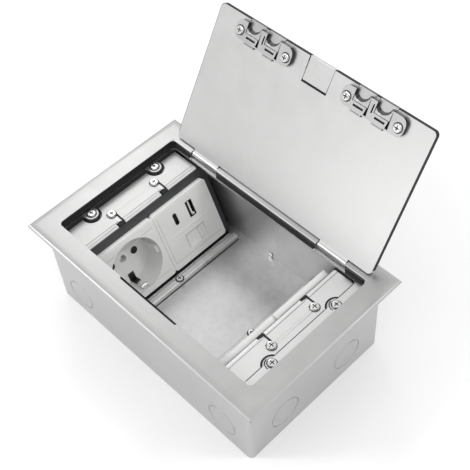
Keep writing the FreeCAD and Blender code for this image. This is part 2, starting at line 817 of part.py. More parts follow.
def flap_centres(cx):
    """Centres of the two flaps that share one bracket."""
    middle = cx + size("flap_shift")
    return (middle - size("flap_pitch") / 2, middle + size("flap_pitch") / 2)


def lid_section(points, x0, x1):
    """A section given as (up the lid, out of the inner face), run from x0 to x1."""
    return prism(points, x0, x1 - x0, "YZ_Plane")


def lid_notches():
    """What is cut from the lid's free edge for the flaps and the lift tab."""
    cuts = []
    for sign in (-1, 1):
        for fx in flap_centres(sign * bracket_x):
            cuts.append(block(fx - flap_half - 0.25, fx + flap_half + 0.25, flap_pivot - 2.0,
                              lid_deep + 1.0, -1 * thick - 1.0, 1.0))
    cuts.append(block(-1 * size("tab_half") - 0.25, size("tab_half") + 0.25, tab_pivot - 2.0,
                      lid_deep + 1.0, -1 * thick - 1.0, 1.0))
    return cuts


def make_lid_plate():
    plate = slab(-lid_half + band, lid_half - band, 0.0, lid_deep - band, -1 * thick, 0.0, 2.6)
    parts = [plate]
    for sign in (-1, 1):
        x0, x1 = (43.0, 64.7) if sign > 0 else (-64.7, -43.0)
        tongue = [(0.5, 0.0), (0.0, 0.0), (-3.2, 0.6), (-3.2, -2.7), (-2.0, -2.7), (0.0, -1.75),
                  (0.5, -1.75)]
        parts.append(lid_section(tongue, x0, x1))
        parts.append(rod(x0, -1 * size("pivot_back"), -1 * size("pivot_sink"),
                         size("knuckle_radius"), x1 - x0, "x"))
    bores = [
        rod(x0 - 1.0, -1 * size("pivot_back"), -1 * size("pivot_sink"),
            size("hinge_pin_radius") + play, 25.0, "x")
        for x0 in (-64.7, 43.0)
    ]
    heel = lid_section([(-0.5, -1.0), (0.0, -1.83), (0.75, -3.04), (0.75, -4.0), (-0.5, -4.0)],
                       -90.0, 90.0)
    heel_keep = [
        block(42.9, 64.8, -6.0, 0.0, -4.0, 2.0),
        block(-64.8, -42.9, -6.0, 0.0, -4.0, 2.0),
    ]
    pin_holes = []
    for sign in (-1, 1):
        cx = sign * bracket_x
        first, last = flap_centres(cx)
        pin_holes.append(rod(first - 8.0, flap_pivot, mid, flap_pin, last - first + 16.0, "x"))
        for hole in (-18.35, 18.35):
            pin_holes.append(rod(cx + hole, 84.8, -2.3, 1.3, 3.0))
    pin_holes.append(rod(-12.2, tab_pivot, mid, flap_pin, 24.4, "x"))
    return carve(join(*parts), carve(heel, *heel_keep), *(bores + lid_notches() + pin_holes))


def make_edge_band():
    outer = slab(-lid_half, lid_half, -4.0, lid_deep, -1 * thick, 0.0, 3.0)
    inner = slab(-lid_half + band, lid_half - band, -9.0, lid_deep - band, -1 * thick - 1.0, 1.0,
                 2.6)
    heel = block(-90.0, 90.0, -10.0, 3.2, -5.0, 2.0)
    return carve(outer, inner, heel, *lid_notches())


def make_bracket(cx):
    low = size("bracket_low")
    high = size("bracket_high")
    half = size("bracket_long") / 2
    height = size("bracket_thick")
    plate = slab(cx - half, cx + half, low, high, 0.0, height, 4.5)
    added = []
    cuts = []
    for fx in flap_centres(cx):
        added.append(block(fx - 5.5, fx + 2.5, low - 1.8, low + 1.0, 0.0, 1.5))
        cuts.append(block(fx - 5.6, fx + 5.4, 84.7, high + 1.0, -1.0, height + 1.0))
        cuts.append(block(fx - 4.0, fx + 3.2, 81.9, 83.2, -1.0, height + 1.0))
        wedge = [(fx + 5.5, 90.0), (fx + 4.2, 80.4), (fx + 6.2, 80.4)]
        cuts.append(prism(wedge, -1.0, height + 2.0))
    middle = cx + size("flap_shift")
    cuts.append(block(middle + 0.2, middle + 1.1, 83.8, 89.2, -1.0, height + 1.0))
    for hole in (-18.35, 18.35):
        cuts.append(rod(cx + hole, 84.8, -1.0, 1.5, 6.0))
    return carve(join(plate, *added), *cuts)


def make_flap(fx):
    leaf = block(fx - flap_half, fx + flap_half, flap_pivot, lid_deep, -1 * thick, 0.0)
    knuckle = rod(fx - flap_half, flap_pivot, mid, 1.5, flap_half * 2, "x")
    heel = block(fx - 5.3, fx + 5.1, 84.95, 91.6, -0.2, 2.3)
    scoop = ball(fx - 1.2, 92.0, 4.4, 6.2)
    bore = rod(fx - flap_half - 1.0, flap_pivot, mid, flap_pin + play, flap_half * 2 + 2.0, "x")
    return carve(join(leaf, knuckle, carve(heel, scoop)), bore)


def make_lift_tab():
    half = size("tab_half")
    leaf = block(-half, half, tab_pivot, lid_deep, -1 * thick, 0.0)
    knuckle = rod(-half, tab_pivot, mid, 1.5, half * 2, "x")
    bore = rod(-half - 1.0, tab_pivot, mid, flap_pin + play, half * 2 + 2.0, "x")
    return carve(join(leaf, knuckle), bore)


node("lid_plate", make_lid_plate(), lid_place)
node("lid_edge_band", make_edge_band(), lid_place)
node("cable_bracket_left", make_bracket(-bracket_x), lid_place)
node("cable_bracket_right", make_bracket(bracket_x), lid_place)
bracket_screws = [
    cross_screw(sign * bracket_x + hole, 84.8, size("bracket_thick"), 2.9, 1.3, 1.25, 4.7)
    for sign in (-1, 1)
    for hole in (-18.35, 18.35)
]
node("bracket_screws", several(*bracket_screws), lid_place)
flap_number = 0
for sign in (-1, 1):
    for centre in flap_centres(sign * bracket_x):
        flap_number += 1
        node("cable_flap_%d" % flap_number, make_flap(centre), lid_place)
flap_pins = []
for sign in (-1, 1):
    first, last = flap_centres(sign * bracket_x)
    flap_pins.append(rod(first - 7.9, flap_pivot, mid, flap_pin, last - first + 15.8, "x"))
node("flap_pins", several(*flap_pins), lid_place)
node("lift_tab", make_lift_tab(), lid_place)
node("lift_tab_pin", several(rod(-12.1, tab_pivot, mid, flap_pin, 24.2, "x")), lid_place)

# ---------------------------------------------------------------- check and write
doc.recompute()
failed = [i for i in doc.Objects if "Invalid" in i.State or "Error" in i.State]
for item in failed:
    print("failed:", item.Name, item.Label, item.State, [o.Label for o in item.OutList])
if failed:
    raise RuntimeError("%d objects failed" % len(failed))
os.makedirs("parts", exist_ok=True)
for name, item in nodes:
    shape = item.Shape
    if shape.isNull() or not shape.isValid() or not shape.Solids:
        raise RuntimeError("bad shape: " + name)
    box = shape.BoundBox
    print("%-26s solids %d  vol %9.1f  x %.2f..%.2f  y %.2f..%.2f  z %.2f..%.2f" % (
        name, len(shape.Solids), shape.Volume, box.XMin, box.XMax, box.YMin, box.YMax,
        box.ZMin, box.ZMax))
    shape.exportStep(os.path.join("parts", name + ".step"))
print("nodes:", len(nodes))
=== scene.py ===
"""Floor socket box with its lid thrown back: looks, lights and camera."""
import json
import math

import bmesh
import bpy
from mathutils import Matrix, Quaternion, Vector


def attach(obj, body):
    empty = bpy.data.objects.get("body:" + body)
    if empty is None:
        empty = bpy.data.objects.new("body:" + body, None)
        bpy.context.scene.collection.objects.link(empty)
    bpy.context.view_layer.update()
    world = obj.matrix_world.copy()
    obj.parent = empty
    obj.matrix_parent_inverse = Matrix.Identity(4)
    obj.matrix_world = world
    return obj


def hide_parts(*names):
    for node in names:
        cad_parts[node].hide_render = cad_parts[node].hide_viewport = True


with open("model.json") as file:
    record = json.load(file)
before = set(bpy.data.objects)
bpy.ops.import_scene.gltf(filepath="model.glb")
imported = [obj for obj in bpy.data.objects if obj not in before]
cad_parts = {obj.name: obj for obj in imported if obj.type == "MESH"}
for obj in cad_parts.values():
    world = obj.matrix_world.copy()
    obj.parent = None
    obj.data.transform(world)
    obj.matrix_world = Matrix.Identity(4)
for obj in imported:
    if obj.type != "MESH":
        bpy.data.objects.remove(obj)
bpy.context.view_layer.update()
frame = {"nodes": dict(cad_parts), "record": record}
MM = 0.001                  # a millimetre in metres, the frame's unit
TOP = 0.0685                # top of the flange above the foot, in metres
TOP_Z = TOP / MM            # the same in millimetres
WELD, TRIM_WELD = 0.002, 0.0005     # corners nearer than this become one, in millimetres
SHARP_ANGLE = 35.0          # edges that turn by more degrees than this stay crisp
EVEN = (1.0, 1.0, 1.0)      # a grain that runs no particular way


def set_down(name, data):
    """A new object of the scene, at the origin."""
    made = bpy.data.objects.new(name, data)
    bpy.context.scene.collection.objects.link(made)
    return made


# ------------------------------------------------------------------ finishes
class Finish:
    """One procedural material, built node by node."""

    def __init__(self, name):
        self.material = bpy.data.materials.new(name)
        self.material.use_nodes = True
        self.tree = self.material.node_tree
        self.shader = self.tree.nodes["Principled BSDF"]
        self.place = self.tree.nodes.new("ShaderNodeTexCoord").outputs["Object"]

    def link(self, start, end):
        self.tree.links.new(start, end)

    def lay(self, pattern, repeats):
        """Lay a pattern on the piece, with its repeats per metre along each axis."""
        mapping = self.tree.nodes.new("ShaderNodeMapping")
        mapping.inputs["Scale"].default_value = repeats
        pattern.inputs["Scale"].default_value = 1.0
        self.link(self.place, mapping.inputs["Vector"])
        self.link(mapping.outputs["Vector"], pattern.inputs["Vector"])

    def grain(self, stretch, size, detail, rough=0.55):
        """Noise on the piece, stretched along its axes; size is in millimetres."""
        noise = self.tree.nodes.new("ShaderNodeTexNoise")
        noise.inputs["Detail"].default_value = detail
        noise.inputs["Roughness"].default_value = rough
        self.lay(noise, [1.0 / MM / (size * part) for part in stretch])
        return noise.outputs["Fac"]

    def crystals(self, repeats):
        """Flat-sided cells, as in a zinc coat; repeats are per metre."""
        cells = self.tree.nodes.new("ShaderNodeTexVoronoi")
        self.lay(cells, [repeats] * 3)
        return cells.outputs["Distance"]

    def spread(self, value, low=0.0, high=1.0, start=0.3, end=0.7):
        """Spread the part of a noise from start to end over the range low to high."""
        node = self.tree.nodes.new("ShaderNodeMapRange")
        node.inputs["From Min"].default_value = start
        node.inputs["From Max"].default_value = end
        node.inputs["To Min"].default_value = low
        node.inputs["To Max"].default_value = high
        self.link(value, node.inputs["Value"])
        return node.outputs["Result"]

    def tint(self, value, dark, light):
        """A colour between two, by a value between 0 and 1."""
        node = self.tree.nodes.new("ShaderNodeMix")
        node.data_type = "RGBA"
        node.inputs["A"].default_value = (*dark, 1.0)
        node.inputs["B"].default_value = (*light, 1.0)
        self.link(value, node.inputs["Factor"])
        return node.outputs["Result"]

    def blend(self, first, second, share):
        """Two values mixed by a fixed share."""
        node = self.tree.nodes.new("ShaderNodeMix")
        node.inputs["Factor"].default_value = share
        self.link(first, node.inputs["A"])
        self.link(second, node.inputs["B"])
        return node.outputs["Result"]

    def colour(self, value):
        self.link(value, self.shader.inputs["Base Color"])

    def roughness(self, value):
        self.link(value, self.shader.inputs["Roughness"])

    def bump(self, value, depth):
        """Relief of the given depth in millimetres."""
        node = self.tree.nodes.new("ShaderNodeBump")
        node.inputs["Distance"].default_value = depth * MM
        node.inputs["Strength"].default_value = 1.0
        self.link(value, node.inputs["Height"])
        self.link(node.outputs["Normal"], self.shader.inputs["Normal"])

    def fixed(self, name, value):
        """Set one input to the same value all over."""
        self.shader.inputs[name].default_value = value


def shade(grey, warm=0.0):
    """A near-neutral colour, a little warm or cool."""
    return (grey * (1 + warm), grey, grey * (1 - warm))


def brushed_metal(name, dark, light, stretch, rough=(0.28, 0.42), metal=1.0,
                  relief=0.02, line=0.35, warm=0.004):
    """Sheet metal with fine lines along one axis and soft clouding."""
    look = Finish(name)
    lines = look.grain(stretch, line, detail=6.0, rough=0.6)
    clouds = look.grain(EVEN, 14.0, detail=3.0)
    both = look.blend(look.spread(lines), look.spread(clouds), 0.45)
    look.colour(look.tint(both, shade(dark, warm), shade(light, warm)))
    look.roughness(look.spread(both, *rough, start=0.1, end=0.9))
    look.bump(lines, relief)
    look.fixed("Metallic", metal)
    return look.material


def spangled_metal(name, dark, light, rough=(0.35, 0.5)):
    """Galvanised sheet: cloudy, with faint crystals in the zinc."""
    look = Finish(name)
    fine = look.grain(EVEN, 0.6, detail=3.0)
    clouds = look.grain(EVEN, 22.0, detail=4.0)
    crystals = look.blend(look.crystals(260.0), fine, 0.5)
    both = look.blend(crystals, look.spread(clouds), 0.5)
    look.colour(look.tint(both, shade(dark), shade(light)))
    look.roughness(look.spread(both, *rough, start=0.2, end=0.8))
    look.bump(fine, 0.015)
    look.fixed("Metallic", 0.9)
    return look.material


def moulded_plastic(name, dark, light, rough, relief=0.01):
    """Injection-moulded plastic with a very fine texture and slight flow clouding."""
    look = Finish(name)
    fine = look.grain(EVEN, 0.25, detail=3.0)
    clouds = look.grain(EVEN, 12.0, detail=2.0)
    both = look.blend(look.spread(fine), look.spread(clouds), 0.6)
    look.colour(look.tint(both, dark, light))
    look.roughness(look.spread(both, *rough, start=0.2, end=0.8))
    look.bump(fine, relief)
    look.fixed("Metallic", 0.0)
    return look.material


FLANGE_STEEL = brushed_metal("flange_steel", 0.44, 0.50, (40.0, 1.0, 1.0), rough=(0.3, 0.4))
LID_STEEL = brushed_metal("lid_steel", 0.53, 0.58, (1.0, 40.0, 40.0), rough=(0.3, 0.36),
                          relief=0.003)
ZINC_SHEET = spangled_metal("zinc_sheet", 0.48, 0.56)
PAN_SHEET = spangled_metal("pan_sheet", 0.4, 0.68, rough=(0.3, 0.42))
BRIGHT_STEEL = brushed_metal("bright_steel", 0.6, 0.75, EVEN, rough=(0.12, 0.22),
                             relief=0.004)
WING_SHEET = brushed_metal("wing_sheet", 0.62, 0.7, (1.0, 30.0, 1.0), rough=(0.3, 0.42),
                           metal=0.85)
# the wing sheet again, darker: painted shade for the left wing, which lies in the flange's shadow
LEFT_WING_PAINTED_SHADE = brushed_metal("left_wing_sheet_painted_shade", 0.46, 0.58, (1.0, 30.0, 1.0),
                                rough=(0.3, 0.42), metal=0.85)
CAST_ZINC = brushed_metal("cast_zinc", 0.42, 0.5, EVEN, rough=(0.25, 0.4), relief=0.01)
# black rubber of the gaskets, also used for painted shadows in gaps and under edges
BLACK_RUBBER_AND_SHADE = moulded_plastic("black_rubber", (0.004, 0.004, 0.004), (0.008, 0.008, 0.008),
                               (0.6, 0.75), 0.03)
GREY_PLASTIC = moulded_plastic("grey_plastic", (0.035, 0.036, 0.038), (0.05, 0.052, 0.054),
                               (0.4, 0.5))
WHITE_PLASTIC = moulded_plastic("white_plastic", (0.83, 0.83, 0.82), (0.88, 0.88, 0.87),
                                (0.28, 0.36), 0.006)
# black plastic of the ports and jacks, also used for painted shade in recesses, slots and holes
BLACK_PLASTIC_AND_SHADE = moulded_plastic("black_plastic", (0.006, 0.006, 0.006), (0.01, 0.01, 0.01),
                                (0.35, 0.5))
# bronze made near-black: painted shade for the contacts deep in the socket holes
BRONZE_PAINTED_SHADE = brushed_metal("contact_bronze_painted_shade", 0.06, 0.1, EVEN, warm=0.2)
# cast zinc for walls: duller as-cast finish, darkened further as painted shade
CAST_WALL_DULL_AND_SHADE = brushed_metal("cast_zinc_walls_dull_and_painted_shade", 0.1, 0.2, EVEN, rough=(0.45, 0.6),
                           relief=0.02)
# darker zinc: painted shade along the wing's crease
ZINC_PAINTED_SHADE = spangled_metal("zinc_sheet_painted_shade", 0.2, 0.3)
# darker white plastic: painted shade for grooves, the window's left and top edges and the
# shutter's grip line
PLASTIC_PAINTED_SHADE = moulded_plastic("white_plastic_painted_shade", (0.3, 0.3, 0.3), (0.38, 0.38, 0.38),
                                (0.5, 0.6))
# brighter white plastic: painted highlights on edges and lips, and the bright tongue of the wide
# port
PLASTIC_BRIGHT_AND_HIGHLIGHT = moulded_plastic("white_plastic_bright_and_painted_highlight", (0.9, 0.9, 0.89), (0.95, 0.95, 0.94),
                                (0.2, 0.28))
# near-black cast zinc: painted shadow on the walls that face +X, away from the key light
CAST_PAINTED_SHADOW = brushed_metal("cast_zinc_painted_shadow", 0.012, 0.03, EVEN, rough=(0.5, 0.6),
                          metal=0.2)
RIBBED_SEAL = brushed_metal("ribbed_seal", 0.012, 0.085, (1.0, 40.0, 40.0), rough=(0.45, 0.6),
                            metal=0.1, line=0.9, relief=0.05)
RAIL_METAL = brushed_metal("rail_metal", 0.6, 0.72, (30.0, 1.0, 30.0), rough=(0.25, 0.4),
                           metal=0.55)
BOARD_GREEN = moulded_plastic("board_green", (0.01, 0.09, 0.04), (0.015, 0.12, 0.055), (0.3, 0.4))


# ------------------------------------------------------------------ pieces
LID_LEAN = math.radians(31.33)          # the open lid, back from upright
LID_OUT = Vector((0.0, -math.cos(LID_LEAN), math.sin(LID_LEAN)))


def ease_edges(made, width):
    """A live two-step bevel, width in millimetres."""
    ease = made.modifiers.new("eased_edges", "BEVEL")
    ease.width = width * MM
    ease.segments = 2
    ease.limit_method = "ANGLE"
    ease.angle_limit = math.radians(SHARP_ANGLE)
    ease.use_clamp_overlap = True
    ease.harden_normals = True


def finish_mesh(made, material, body):
    """Give a piece its material and smooth shading, and let it ride on its body."""
    made.data.materials.append(material)
    made.data.shade_smooth()
    made.data.set_sharp_from_angle(angle=math.radians(SHARP_ANGLE))
    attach(made, body)


def paint_shade_on_cast_walls(mesh):
    """Leave the flats of a cast piece bright; its walls get the duller as-cast finish with
    painted shade, and those towards +X a near-black painted shadow.
    """
    flat_from, right_from = 0.93, 0.3       # how squarely a face looks out, and to +X
    mesh.materials.append(CAST_WALL_DULL_AND_SHADE)
    mesh.materials.append(CAST_PAINTED_SHADOW)
    for face in mesh.polygons:
        if abs(face.normal.dot(LID_OUT)) < flat_from:
            face.material_index = 2 if face.normal.x > right_from else 1


def body_of_node(node):
    for body, members in frame["record"]["behaviour"]["bodies"].items():
        if node in members:
            return body
    raise KeyError(node)


def dressed(node, material, edge):
    """A copy of one solid with its edges eased, standing for it."""
    mesh = bpy.data.meshes.new(node + "_dressed")
    shape = bmesh.new()
    shape.from_mesh(frame["nodes"][node].data)
    bmesh.ops.remove_doubles(shape, verts=shape.verts, dist=WELD * MM)
    shape.to_mesh(mesh)
    shape.free()
    made = set_down(node + "_dressed", mesh)
    ease_edges(made, edge)
    even = made.modifiers.new("even_shading", "WEIGHTED_NORMAL")
    even.keep_sharp = True
    finish_mesh(made, material, body_of_node(node))
    # cast pieces get painted shade on their walls
    if material is CAST_ZINC:
        paint_shade_on_cast_walls(mesh)
    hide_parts(node)


# each solid with its finish and the width of its eased edges in millimetres
DRESSING = {
    "housing": (ZINC_SHEET, 0.2),
    "base_pan": (PAN_SHEET, 0.4),
    "wall_rivets": (BRIGHT_STEEL, 0.25),
    "bezel_frame": (FLANGE_STEEL, 0.25),
    "gasket": (BLACK_RUBBER_AND_SHADE, 0.3),
    "hinge_pins": (BRIGHT_STEEL, 0.1),
    "frame_screws": (BRIGHT_STEEL, 0.25),
    "wing_screws": (BRIGHT_STEEL, 0.25),
    "rail_screws": (BRIGHT_STEEL, 0.2),
    "lid_plate": (LID_STEEL, 0.2),
    "lid_edge_band": (BLACK_RUBBER_AND_SHADE, 0.2),
    "cable_bracket_left": (CAST_ZINC, 0.25),
    "cable_bracket_right": (CAST_ZINC, 0.25),
    "bracket_screws": (BRIGHT_STEEL, 0.25),
    "flap_pins": (BRIGHT_STEEL, 0.05),
    "lift_tab": (LID_STEEL, 0.2),
    "lift_tab_pin": (BRIGHT_STEEL, 0.05),
}
for number in (1, 2, 3, 4):
    DRESSING["cable_flap_%d" % number] = (CAST_ZINC, 0.15)
for row in ("left_", "right_"):
    DRESSING.update({
        # the left wing takes the darker sheet, painted shade
        row + "wing": (LEFT_WING_PAINTED_SHADE if row == "left_" else WING_SHEET, 0.15),
        row + "support": (ZINC_SHEET, 0.15),
        row + "carrier": (GREY_PLASTIC, 0.25),
        row + "rail": (RAIL_METAL, 0.2),
        row + "schuko_cover": (WHITE_PLASTIC, 0.35),
        # the contacts take the darkened bronze, painted shade in the holes
        row + "schuko_contacts": (BRONZE_PAINTED_SHADE, 0.1),
        row + "schuko_earth_clips": (BRIGHT_STEEL, 0.25),
        row + "schuko_screw": (BRIGHT_STEEL, 0.2),
        row + "schuko_body": (WHITE_PLASTIC, 0.5),
        row + "data_cover": (WHITE_PLASTIC, 0.3),
        row + "usb_a_port": (BLACK_PLASTIC_AND_SHADE, 0.05),
        row + "usb_c_port": (BLACK_PLASTIC_AND_SHADE, 0.05),
        row + "rj45_jack": (BLACK_PLASTIC_AND_SHADE, 0.1),
        row + "rj45_shutter": (WHITE_PLASTIC, 0.15),
        row + "data_board": (BOARD_GREEN, 0.1),
        row + "data_body": (BLACK_PLASTIC_AND_SHADE, 0.4),
    })
for node, (material, edge) in DRESSING.items():
    dressed(node, material, edge)


# ------------------------------------------------------------------ places
SLOPE = math.radians(67.57)             # the modules, down from level
SLOPE_HEAD = (-56.6, 0.0, TOP_Z - 13.36)    # middle of the left slope's upper edge
LID_FOOT = (0.0, 50.747, TOP_Z + 1.01)      # middle of the open lid's hinge edge, inner face


def axes(x_axis, y_axis, z_axis, origin):
    """A placement from three axes and an origin in millimetres."""
    turn = Matrix((x_axis, y_axis, z_axis)).transposed().to_4x4()
    return Matrix.Translation(origin) @ turn


IN_BOX = Matrix.Identity(4)
HALF_TURN = Matrix.Rotation(math.pi, 4, "Z")
LID_FACE = axes((1, 0, 0), (0, math.sin(LID_LEAN), math.cos(LID_LEAN)), LID_OUT, LID_FOOT)
LEFT_SLOPE = axes((0, 1, 0), (-math.cos(SLOPE), 0, math.sin(SLOPE)),
                  (math.sin(SLOPE), 0, math.cos(SLOPE)), SLOPE_HEAD)
ROWS = {"left_": (IN_BOX, LEFT_SLOPE), "right_": (HALF_TURN, HALF_TURN @ LEFT_SLOPE)}


# ------------------------------------------------------------------ shaping tools
class Shape:
    """A piece being shaped, in millimetres, before it gets its place."""

    def __init__(self):
        self.mesh = bmesh.new()

    def block(self, x0, x1, y0, y1, z0, z1):
        """A straight block between two places along each axis."""
        middle = Matrix.Translation(((x0 + x1) / 2, (y0 + y1) / 2, (z0 + z1) / 2))
        spread = Matrix.Diagonal((x1 - x0, y1 - y0, z1 - z0, 1.0))
        bmesh.ops.create_cube(self.mesh, size=1.0, matrix=middle @ spread)
        return self

    def rod(self, x, y, z, radius, length, axis="z"):
        """A round bar from one end at x, y, z along the axis."""
        turn = {"z": Matrix.Identity(4), "y": Matrix.Rotation(-math.pi / 2, 4, "X")}[axis]
        along = Matrix.Translation((0.0, 0.0, length / 2))
        bmesh.ops.create_cone(self.mesh, cap_ends=True, segments=40, radius1=radius,
                              radius2=radius, depth=length,
                              matrix=Matrix.Translation((x, y, z)) @ turn @ along)
        return self

    def ring(self, x, y, z, inner, outer, height, start=0.0, sweep=360.0, steps=48):
        """A flat ring, or a part of one, spun from its section."""
        begin = Matrix.Rotation(math.radians(start), 3, "Z")
        centre = Vector((x, y, z))
        corners = [self.mesh.verts.new(centre + begin @ Vector((r, 0.0, h)))
                   for r, h in ((inner, 0.0), (outer, 0.0), (outer, height), (inner, height))]
        edges = [self.mesh.edges.new((corners[i], corners[(i + 1) % 4])) for i in range(4)]
        whole = sweep >= 360.0
        section = corners + edges + ([] if whole else [self.mesh.faces.new(corners)])
        bmesh.ops.spin(self.mesh, geom=section, cent=centre, axis=(0.0, 0.0, 1.0),
                       angle=math.radians(sweep), steps=steps, use_merge=whole)
        return self

    def frame(self, x0, x1, y0, y1, z0, z1, width):
        """A rectangular frame; the width is measured inwards."""
        self.block(x0, x1, y0, y0 + width, z0, z1).block(x0, x1, y1 - width, y1, z0, z1)
        self.block(x0, x0 + width, y0 + width, y1 - width, z0, z1)
        return self.block(x1 - width, x1, y0 + width, y1 - width, z0, z1)

    def cross(self, x, y, z0, z1, reach, width):
        """Two crossed bars, as in a screw head; reach is from the middle to an end."""
        self.block(x - reach, x + reach, y - width / 2, y + width / 2, z0, z1)
        return self.block(x - width / 2, x + width / 2, y - reach, y + reach, z0, z1)


def span(side, start, end):
    """Two places on one side of the middle, the lower one first."""
    return sorted((side * start, side * end))


def piece(name, shape, material, body="box", place=IN_BOX, edge=0.0):
    """Place a finished shape, give it its finish and let it ride on its body."""
    mesh = bpy.data.meshes.new(name)
    bmesh.ops.remove_doubles(shape.mesh, verts=shape.mesh.verts, dist=TRIM_WELD)
    bmesh.ops.recalc_face_normals(shape.mesh, faces=shape.mesh.faces)
    bmesh.ops.transform(shape.mesh, matrix=Matrix.Scale(MM, 4) @ place, verts=shape.mesh.verts)
    shape.mesh.to_mesh(mesh)
    shape.mesh.free()
    made = set_down(name, mesh)
    if edge > 0:
        ease_edges(made, edge)
    finish_mesh(made, material, body)


# ------------------------------------------------------------------ recess and flange
FLANGE_X, FLANGE_Y = 96.02, 61.22       # half the lower edge of the flange
OPEN_X, OPEN_Y = 82.13, 47.22           # half the opening
OPEN_CORNER = 3.0                       # radius of the opening's corners
EAR_X, EAR_Y = 77.8, 26.3
LEDGE_TOP = TOP_Z - 6.0
LEDGE_EDGE = 75.4
WING_TOP = TOP_Z - 7.6
HINGE_NEAR, HINGE_FAR = 42.4, 65.3      # where the notch of a lid hinge begins and ends
SCREW_X, SCREW_NEAR, SCREW_FAR = 69.15, 17.5, 17.9
RAIL_TOP, RAIL_EDGE = TOP_Z - 57.0, -35.0
RAIL_SCREW_X, RAIL_SCREW_Y = -31.6, -1.2
PAN_TOP = 8.0
CLEAR = 0.02                            # how far the thinnest trim stands off its surface


def mouth_liner_and_shade():
    """Black rubber lining of the opening that is also painted shade on the walls under the
    flange, ribbed on the hinge wall over a painted highlight line at its foot.
    """
    lining, ribbed, feet = Shape(), Shape(), Shape()
    low, high, thick = LEDGE_TOP + CLEAR, TOP_Z - 0.3, 0.12
    corner_x, corner_y = OPEN_X - OPEN_CORNER, OPEN_Y - OPEN_CORNER
    for side in (-1, 1):
        lining.block(*span(side, OPEN_X - thick, OPEN_X), -corner_y, corner_y, low, high)
    lining.block(-corner_x, corner_x, -OPEN_Y, -OPEN_Y + thick, low, high)
    for quarter, (side, end) in enumerate(((1, 1), (-1, 1), (-1, -1), (1, -1))):
        lining.ring(side * corner_x, end * corner_y, low, OPEN_CORNER - thick, OPEN_CORNER,
                    high - low, start=90.0 * quarter, sweep=90.0, steps=8)
    for wall in (span(-1, HINGE_FAR + 0.2, corner_x), span(1, HINGE_FAR + 0.2, corner_x),
                 (-HINGE_NEAR + 0.2, HINGE_NEAR - 0.2)):
        ribbed.block(*wall, OPEN_Y - thick, OPEN_Y, low, high)
        # painted highlight: a bright line along the foot of the hinge wall
        feet.block(*wall, OPEN_Y - 0.9, OPEN_Y - thick, low, low + 0.7)
    piece("mouth_liner_and_shade", lining, BLACK_RUBBER_AND_SHADE)
    piece("ribbed_liner", ribbed, RIBBED_SEAL)
    piece("liner_foot_highlights", feet, PLASTIC_BRIGHT_AND_HIGHLIGHT)
    # painted highlight: a dim grey line along the foot of the left wall
    dim_highlight = Shape().block(-OPEN_X + thick, -OPEN_X + 0.5, -44.0, 44.0, low, low + 0.3)
    piece("left_liner_dim_highlight", dim_highlight, GREY_PLASTIC)


def wing_edge_shadows():
    """Painted shadow: black along the left wing's outer edge and round its screw ears, and a
    black line in the gap at the right wing's edge and round its ears.
    """
    foot = WING_TOP + CLEAR
    left_shadow = Shape().block(-81.25, -79.0, -45.6, 45.6, foot, foot + 0.15)
    for end in (-1, 1):
        left_shadow.ring(-EAR_X, end * EAR_Y, foot, 4.3, 5.2, 0.14)
    piece("left_wing_edge_shadow", left_shadow, BLACK_RUBBER_AND_SHADE)
    # painted shadow in the gap between the right wing and the ledge
    line = Shape()
    reach, beside_ear = 45.0, 6.0
    for low, high in ((-reach, -EAR_Y - beside_ear), (-EAR_Y + beside_ear, EAR_Y - beside_ear),
                      (EAR_Y + beside_ear, reach)):
        line.block(LEDGE_EDGE - 1.15, LEDGE_EDGE, low, high, foot, foot + 0.1)
    for end in (-1, 1):
        line.ring(EAR_X, end * EAR_Y, foot, 5.55, 6.7, 0.1, start=112.0, sweep=136.0, steps=24)
    piece("right_wing_gap_shadow", line, BLACK_RUBBER_AND_SHADE)


def ledge_cover():
    """Bright strip on the right ledge, with an arc of painted shade beside each ear."""
    strip = Shape().block(LEDGE_EDGE + 0.05, OPEN_X - 0.2, -45.9, 45.9,
                          LEDGE_TOP - CLEAR, LEDGE_TOP + 0.06)
    piece("right_ledge_cover", strip, WING_SHEET)
    # painted shade: a dark arc beside each ear
    dark = Shape()
    for end in (-1, 1):
        dark.ring(EAR_X, end * EAR_Y, LEDGE_TOP, 3.9, 4.5, 0.1, start=185.0, sweep=95.0,
                  steps=28)
    piece("right_ear_shade_arcs", dark, BLACK_RUBBER_AND_SHADE)


def screw_shadows():
    """Painted shade: black in the cross recesses, and dark rings for the gaps under the ear, wing
    and rail screws.
    """
    crosses, gaps = Shape(), Shape()
    for side in (-1, 1):
        for y in (-EAR_Y, EAR_Y):
            crosses.cross(side * EAR_X, y, LEDGE_TOP - 0.4, LEDGE_TOP + 0.85, 1.6, 0.62)
            gaps.ring(side * EAR_X, y, LEDGE_TOP, 2.9, 3.3, 0.07)
        for y in (side * SCREW_NEAR, -side * SCREW_FAR):
            crosses.cross(side * SCREW_X, y, WING_TOP - 0.2, WING_TOP + 1.3, 1.6, 0.62)
            gaps.ring(side * SCREW_X, y, WING_TOP, 3.0, 3.35, 0.06)
        x, y = side * RAIL_SCREW_X, side * RAIL_SCREW_Y
        crosses.cross(x, y, RAIL_TOP - 0.6, RAIL_TOP + 0.88, 1.33, 0.6)
        gaps.ring(x, y, RAIL_TOP, 2.4, 2.95, 0.12)
    piece("screw_recess_shade", crosses, BLACK_PLASTIC_AND_SHADE)
    piece("screw_gap_shadows", gaps, BLACK_RUBBER_AND_SHADE)


def rim_shadow():
    """Painted shadow: the dark line under the flange's lower edge."""
    edge = Shape().frame(-FLANGE_X, FLANGE_X, -FLANGE_Y, FLANGE_Y, TOP_Z - 2.4, TOP_Z - 1.8, 0.5)
    piece("flange_rim_shadow", edge, BLACK_RUBBER_AND_SHADE)


